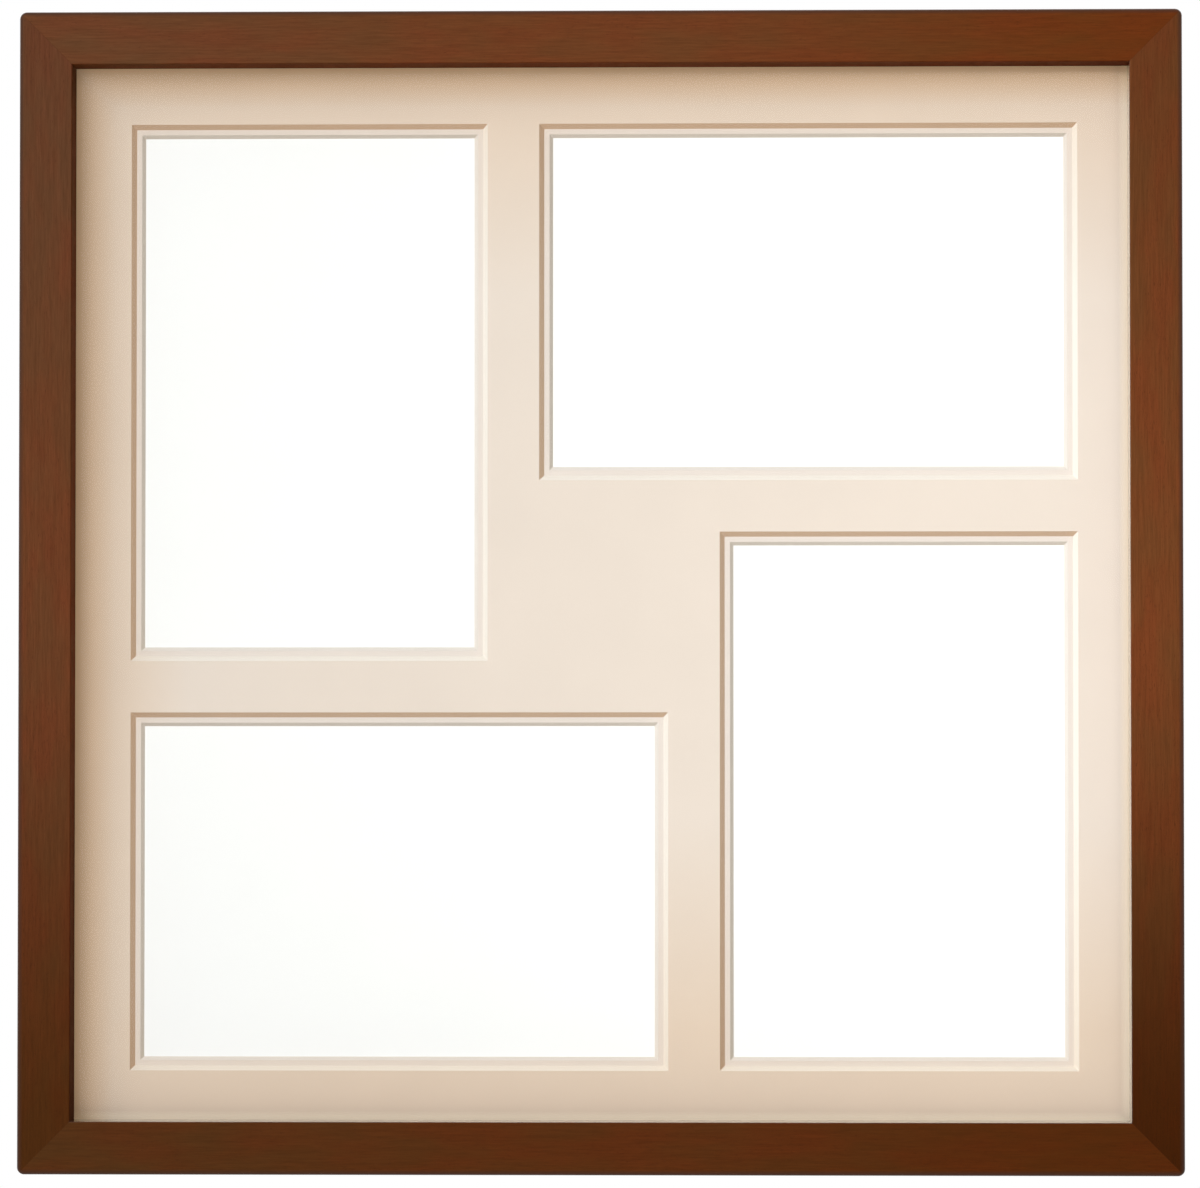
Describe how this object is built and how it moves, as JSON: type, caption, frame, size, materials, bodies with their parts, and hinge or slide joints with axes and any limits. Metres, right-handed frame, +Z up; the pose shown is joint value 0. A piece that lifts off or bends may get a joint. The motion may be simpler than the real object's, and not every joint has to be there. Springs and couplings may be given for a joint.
{
  "type": "collage photo frame",
  "caption": "Square wall-hung photo frame with mitred wooden rails, glass, a double mat with pinwheel windows, and a backing held by turn buttons.",
  "frame": {"origin": "in the wall plane, midway between the two points where wall hooks hold the raised D-rings", "axes": "+X to the right of a person who looks at the front, +Y from the front into the wall, +Z up"},
  "size_m": [0.33, 0.024, 0.33],
  "materials": {
    "stained_wood": "reddish brown stain under satin lacquer",
    "mat_board": "cream mat board, fine tooth, with cut bevels",
    "card_white": "smooth blank card",
    "paper_tape": "gummed paper tape",
    "clear_glass": "clear float glass",
    "hardboard": "brown hardboard, smooth side out",
    "plated_steel": "bright nickel plating, lightly brushed",
    "nail_steel": "bare spring steel",
    "bumper_rubber": "matt black rubber"
  },
  "bodies": {
    "frame": {"top_rail": "stained_wood", "bottom_rail": "stained_wood", "left_rail": "stained_wood", "right_rail": "stained_wood", "corner_v_nails": "nail_steel", "glass_pane": "clear_glass", "top_mat": "mat_board", "under_mat": "mat_board", "card_tapes": "paper_tape", "backing_board": "hardboard", "turn_button_screws": "plated_steel", "hanger_screws": "plated_steel", "strap_hanger_left": "plated_steel", "strap_hanger_right": "plated_steel", "wall_bumpers": "bumper_rubber", "photo_card_top_left": "card_white", "photo_card_top_right": "card_white", "photo_card_bottom_left": "card_white", "photo_card_bottom_right": "card_white"},
    "turn_button_top_1": {"turn_button_top_1": "plated_steel"},
    "turn_button_top_2": {"turn_button_top_2": "plated_steel"},
    "turn_button_left_1": {"turn_button_left_1": "plated_steel"},
    "turn_button_left_2": {"turn_button_left_2": "plated_steel"},
    "turn_button_bottom_1": {"turn_button_bottom_1": "plated_steel"},
    "turn_button_bottom_2": {"turn_button_bottom_2": "plated_steel"},
    "turn_button_right_1": {"turn_button_right_1": "plated_steel"},
    "turn_button_right_2": {"turn_button_right_2": "plated_steel"},
    "hanger_ring_left": {"hanger_ring_left": "plated_steel"},
    "hanger_ring_right": {"hanger_ring_right": "plated_steel"}
  },
  "joints": [
    {"name": "turn_button_top_1_pivot", "type": "hinge", "parent": "frame", "child": "turn_button_top_1", "pos_m": [0.095, -0.0033, 0.0948], "axis": [0, 1, 0], "continuous": true},
    {"name": "turn_button_top_2_pivot", "type": "hinge", "parent": "frame", "child": "turn_button_top_2", "pos_m": [-0.095, -0.0033, 0.0948], "axis": [0, 1, 0], "continuous": true},
    {"name": "turn_button_left_1_pivot", "type": "hinge", "parent": "frame", "child": "turn_button_left_1", "pos_m": [-0.16, -0.0033, 0.0298], "axis": [0, 1, 0], "continuous": true},
    {"name": "turn_button_left_2_pivot", "type": "hinge", "parent": "frame", "child": "turn_button_left_2", "pos_m": [-0.16, -0.0033, -0.1602], "axis": [0, 1, 0], "continuous": true},
    {"name": "turn_button_bottom_1_pivot", "type": "hinge", "parent": "frame", "child": "turn_button_bottom_1", "pos_m": [-0.095, -0.0033, -0.2252], "axis": [0, 1, 0], "continuous": true},
    {"name": "turn_button_bottom_2_pivot", "type": "hinge", "parent": "frame", "child": "turn_button_bottom_2", "pos_m": [0.095, -0.0033, -0.2252], "axis": [0, 1, 0], "continuous": true},
    {"name": "turn_button_right_1_pivot", "type": "hinge", "parent": "frame", "child": "turn_button_right_1", "pos_m": [0.16, -0.0033, -0.1602], "axis": [0, 1, 0], "continuous": true},
    {"name": "turn_button_right_2_pivot", "type": "hinge", "parent": "frame", "child": "turn_button_right_2", "pos_m": [0.16, -0.0033, 0.0298], "axis": [0, 1, 0], "continuous": true},
    {"name": "hanger_ring_left_swing", "type": "hinge", "parent": "frame", "child": "hanger_ring_left", "pos_m": [-0.1588, -0.00255, -0.0102], "axis": [1, 0, 0], "range_deg": [0, 174]},
    {"name": "hanger_ring_right_swing", "type": "hinge", "parent": "frame", "child": "hanger_ring_right", "pos_m": [0.1588, -0.00255, -0.0102], "axis": [1, 0, 0], "range_deg": [0, 174]}
  ]
}
